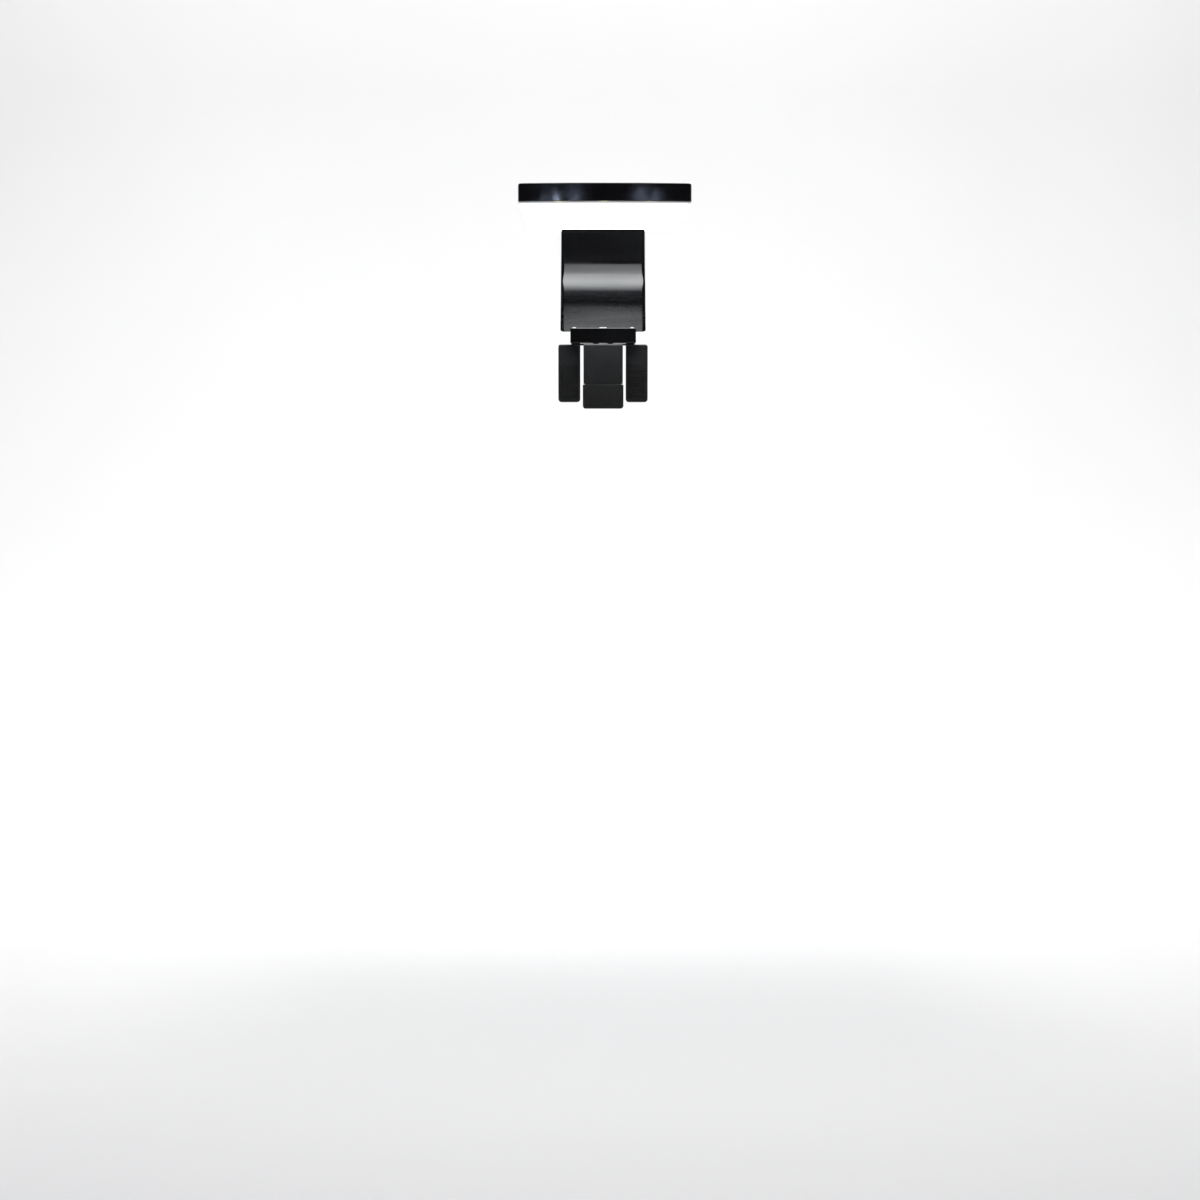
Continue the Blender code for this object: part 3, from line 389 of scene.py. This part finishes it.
def add_block(bm, low, high, frame_of=None):
    """A closed box in bm, turned and moved by the matrix frame_of if there is one."""
    made = bmesh.ops.create_cube(bm, size=1.0)["verts"]
    low, high = Vector(low), Vector(high)
    for vert in made:
        at = [low[i] + (vert.co[i] + 0.5) * (high[i] - low[i]) for i in range(3)]
        vert.co = frame_of @ Vector(at) if frame_of else Vector(at)


def screw_matrix(bm):
    """The frame of a screw: its origin is at the middle of the head's face, and +Z runs down the shank."""
    points = np.array([vert.co for vert in bm.verts])
    middle = points.mean(axis=0)
    axis = np.linalg.svd(points - middle)[2][0]
    place = (points - middle) @ axis
    spread = np.linalg.norm(points - middle - np.outer(place, axis), axis=1)
    if spread[place > 0].max() > spread[place < 0].max():
        axis, place = -axis, -place
    centre = Vector(middle) + Vector(axis) * float(place.min())
    turn = Vector(axis).to_track_quat("Z", "Y").to_matrix().to_4x4()
    return Matrix.Translation(centre) @ turn


# A screw's cross recess, in mm
RECESS_HALF = 0.17
RECESS_ARM = 1.15
RECESS_DEPTH = 0.6


def cross_recess(bm):
    """The cutter for a screw's cross recess."""
    made = bmesh.new()
    where = screw_matrix(bm)
    for long_x, long_y in ((RECESS_ARM, RECESS_HALF), (RECESS_HALF, RECESS_ARM)):
        low = (-long_x * MM, -long_y * MM, -0.5 * MM)
        high = (long_x * MM, long_y * MM, RECESS_DEPTH * MM)
        add_block(made, low, high, where)
    return made


# The grip grooves, in mm
GROOVE_WIDE = 0.7
GROOVE_DEEP = 0.28
GROOVE_PITCH = 1.9
GROOVE_MARGIN = 1.6


def grip_grooves(node, facing):
    """The cutter for level grooves across the gripping face of a pad; facing is that face's Y sense."""
    low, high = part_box(node)
    made = bmesh.new()
    face = high.y if facing > 0 else low.y
    near, far = sorted((face - facing * GROOVE_DEEP * MM, face + facing * MM))
    z = low.z + GROOVE_MARGIN * MM
    end = high.z - GROOVE_MARGIN * MM
    while z + GROOVE_WIDE * MM < end:
        add_block(made, (low.x - MM, near, z), (high.x + MM, far, z + GROOVE_WIDE * MM))
        z += GROOVE_PITCH * MM
    return made


def cutter_for(node, bm):
    """The shape to carve out of a node, or None."""
    if "_screw_" in node:
        return cross_recess(bm)
    if node.startswith("finger_pad"):
        return grip_grooves(node, -1)
    if node == "jaw_boot":
        return grip_grooves(node, 1)
    return None


def carved(bm, cutter):
    """The mesh with the cutter's shape taken out of it."""
    things = []
    for shape in (bm, cutter):
        bmesh.ops.recalc_face_normals(shape, faces=shape.faces[:])
        mesh = bpy.data.meshes.new("carving")
        shape.to_mesh(mesh)
        shape.free()
        things.append(link("carving", mesh))
    step = things[0].modifiers.new("carve", "BOOLEAN")
    step.operation = "DIFFERENCE"
    step.solver = "EXACT"
    step.use_self = True
    step.object = things[1]
    bpy.context.view_layer.update()
    graph = bpy.context.evaluated_depsgraph_get()
    result = bmesh.new()
    result.from_mesh(things[0].evaluated_get(graph).to_mesh())
    for thing in things:
        bpy.data.objects.remove(thing, do_unlink=True)
    bmesh.ops.remove_doubles(result, verts=result.verts[:], dist=WELD)
    return result


def polished(node):
    """A copy of a node with rounded edges, shaded smooth, whose edge attribute marks the rounding."""
    bm = welded(node)
    cutter = cutter_for(node, bm)
    if cutter:
        bm = carved(bm, cutter)
    mark = bm.faces.layers.float.new("edge")
    if node in EDGE_RADIUS:
        for face in rounded(bm, EDGE_RADIUS[node]):
            if face.is_valid:
                face[mark] = 1.0
        bmesh.ops.remove_doubles(bm, verts=bm.verts[:], dist=SMALLEST)
        bmesh.ops.dissolve_degenerate(bm, edges=bm.edges[:], dist=SMALLEST)
    mesh = bpy.data.meshes.new(node + "_finished")
    bm.to_mesh(mesh)
    bm.free()
    mesh.shade_smooth()
    mesh.set_sharp_from_angle(angle=SMOOTHED if node in EDGE_RADIUS else SHARP)
    made = link(node + "_finished", mesh)
    flatten = made.modifiers.new("flat_faces", "WEIGHTED_NORMAL")
    flatten.weight = 80
    flatten.keep_sharp = True
    return made


def finish_nodes(finishes):
    """Stands a finished copy in for every node, on the node's body and with its slot's material."""
    slots = {part["node"]: part["material_slot"] for part in frame["record"]["subparts"]}
    for body, members in frame["record"]["behaviour"]["bodies"].items():
        for node in members:
            made = polished(node)
            made.data.materials.append(finishes[slots[node]])
            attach(made, body)
            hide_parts(node)


# Stage

FLOOR_Z = -0.36
STAGE_HALF = 3.0
STAGE_FRONT = -0.62
STAGE_MIDDLE = 0.2
STAGE_BEND = 1.2
STAGE_RADIUS = 0.8
STAGE_TOP = 2.4
STAGE_STEPS = 24


def stage_finish():
    made, tree, shader = new_material("stage_pale")
    mottled = ramp(tree, noise(tree, 1.5), 0.3, 0.7)
    tint = blend_colour(tree, mottled, (0.80, 0.80, 0.805), (0.83, 0.83, 0.83))
    tree.links.new(tint, shader.inputs["Base Color"])
    shader.inputs["Roughness"].default_value = 0.8
    shader.inputs["Specular IOR Level"].default_value = 0.1
    return made


def make_stage():
    """A pale floor that bends up into a backdrop."""
    outline = [(STAGE_FRONT, FLOOR_Z), (STAGE_MIDDLE, FLOOR_Z)]
    for i in range(STAGE_STEPS + 1):
        angle = 0.5 * math.pi * i / STAGE_STEPS
        y = STAGE_BEND + STAGE_RADIUS * math.sin(angle)
        z = FLOOR_Z + STAGE_RADIUS * (1.0 - math.cos(angle))
        outline.append((y, z))
    outline.append((STAGE_BEND + STAGE_RADIUS, STAGE_TOP))
    bm = bmesh.new()
    rows = [[bm.verts.new((x, y, z)) for y, z in outline] for x in (-STAGE_HALF, STAGE_HALF)]
    for i in range(len(outline) - 1):
        bm.faces.new((rows[0][i], rows[1][i], rows[1][i + 1], rows[0][i + 1]))
    mesh = bpy.data.meshes.new("stage_sweep")
    bm.to_mesh(mesh)
    bm.free()
    mesh.shade_smooth()
    mesh.materials.append(stage_finish())
    link("stage_sweep", mesh)


# Light

ROOM_SEEN = 0.92
ROOM_LIT = 0.07


def area_light(name, at, aim, size, radiance, colour=(1.0, 1.0, 1.0), roll=0.0, mirrored=True):
    """A rectangular light of size (wide, tall) whose face has the given radiance."""
    data = bpy.data.lights.new(name, "AREA")
    data.shape = "RECTANGLE"
    data.size, data.size_y = size
    data.energy = radiance * math.pi * size[0] * size[1]
    data.color = colour
    made = bpy.data.objects.new(name, data)
    made.location = at
    turn = (Vector(aim) - Vector(at)).to_track_quat("-Z", "Y").to_matrix()
    made.rotation_euler = (turn @ Matrix.Rotation(math.radians(roll), 3, "Z")).to_euler()
    made.visible_glossy = mirrored
    bpy.context.scene.collection.objects.link(made)


def make_room():
    """A room that looks pale, but lights the object's front only faintly."""
    world = bpy.data.worlds.new("pale_room")
    bpy.context.scene.world = world
    world.use_nodes = True
    tree = world.node_tree
    tree.nodes.clear()
    seen = tree.nodes.new("ShaderNodeBackground")
    seen.inputs["Color"].default_value = (0.97, 0.97, 0.98, 1.0)
    seen.inputs["Strength"].default_value = ROOM_SEEN
    lit = tree.nodes.new("ShaderNodeBackground")
    lit.inputs["Color"].default_value = (0.97, 0.98, 1.0, 1.0)
    lit.inputs["Strength"].default_value = ROOM_LIT
    ray = tree.nodes.new("ShaderNodeLightPath")
    mix = tree.nodes.new("ShaderNodeMixShader")
    out = tree.nodes.new("ShaderNodeOutputWorld")
    tree.links.new(ray.outputs["Is Camera Ray"], mix.inputs["Fac"])
    tree.links.new(lit.outputs[0], mix.inputs[1])
    tree.links.new(seen.outputs[0], mix.inputs[2])
    tree.links.new(mix.outputs[0], out.inputs["Surface"])


GLINT_BLUE = (0.62, 0.72, 1.0)
# Across the room, lean in degrees, width and radiance of each strip that the head's front mirrors
GLINTS = ((-0.275, 0.0, 0.050, 1.8), (-0.231, 33.0, 0.014, 18.0), (-0.122, -33.0, 0.034, 5.0),
          (0.172, 33.0, 0.016, 17.0), (0.264, -33.0, 0.034, 4.4))
GLINT_TALL = 0.12
GLINT_TOP = 0.212
GLINT_Y = -1.456
GLINT_AIM = (0.0, -0.156, 0.077)


def make_lights():
    """Two soft lights above, a fill from below, and the strips that glint on the head's front."""
    area_light("back_wash", (0.0, 0.9, 2.0), (0.0, 1.9, 0.3), (3.0, 1.6), 3.5)
    area_light("top_softbox", (0.0, 0.3, 1.7), (0.0, 0.1, 0.0), (1.6, 1.0), 5.6)
    area_light("low_fill", (0.0, -1.7, -0.9), (0.0, 0.0, -0.02), (1.2, 0.5), 1.8, mirrored=False)
    for x, lean, wide, radiance in GLINTS:
        drop = 0.5 * GLINT_TALL * math.cos(math.radians(lean))
        at = (x + drop * math.tan(math.radians(lean)), GLINT_Y, GLINT_TOP - drop)
        area_light("glint", at, GLINT_AIM, (wide, GLINT_TALL), radiance, GLINT_BLUE, lean)


make_camera()
finish_nodes(make_finishes())
make_stage()
make_room()
make_lights()

bpy.context.scene.view_settings.view_transform = "Standard"
